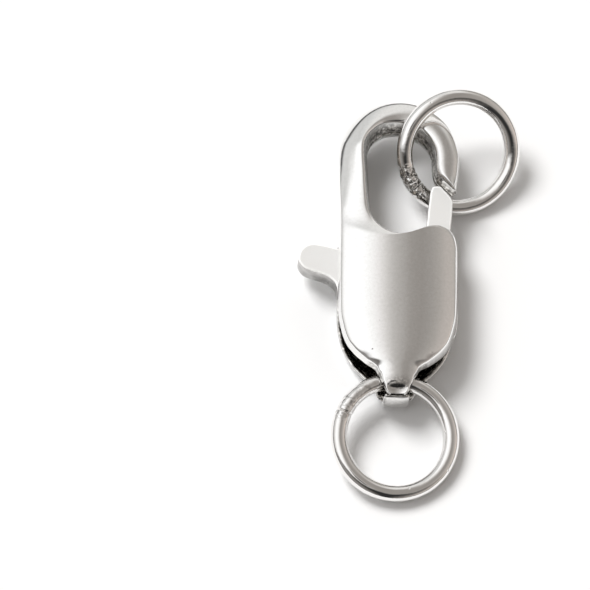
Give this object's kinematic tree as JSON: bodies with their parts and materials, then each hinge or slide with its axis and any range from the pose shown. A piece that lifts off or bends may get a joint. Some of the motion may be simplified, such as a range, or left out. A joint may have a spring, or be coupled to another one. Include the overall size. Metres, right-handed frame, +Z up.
{
  "type": "lobster clasp",
  "caption": "Flat lobster clasp of bright plated metal with a thumb lever, a jump ring in its hook and another in its tail eye.",
  "frame": {"origin": "on the surface that the clasp lies on, under the middle of its box with both rings and the lever's tab", "axes": "+Y from the tail eye towards the hook, +Z up out of the front, +X towards the gate's side"},
  "size_m": [0.0088, 0.0164, 0.003],
  "materials": {
    "plated_shell": "polished, with a few small pits",
    "plated_lever": "satin face with rounded bright rims",
    "plated_wire": "polished wire with cut ends",
    "pin_steel": "plain"
  },
  "bodies": {
    "clasp": {"front_shell": "plated_shell", "back_shell": "plated_shell", "pivot_pin": "pin_steel", "return_spring": "pin_steel", "tail_ring": "plated_wire", "hook_ring": "plated_wire"},
    "lever": {"lever": "plated_lever"}
  },
  "joints": [
    {"name": "lever_pivot", "type": "hinge", "parent": "clasp", "child": "lever", "pos_m": [0.00041, 0.00022, 0.00125], "axis": [0, 0, 1], "range_deg": [0, 20], "stiffness_Nm_per_rad": 0.00002, "springref_deg": -5.73}
  ]
}
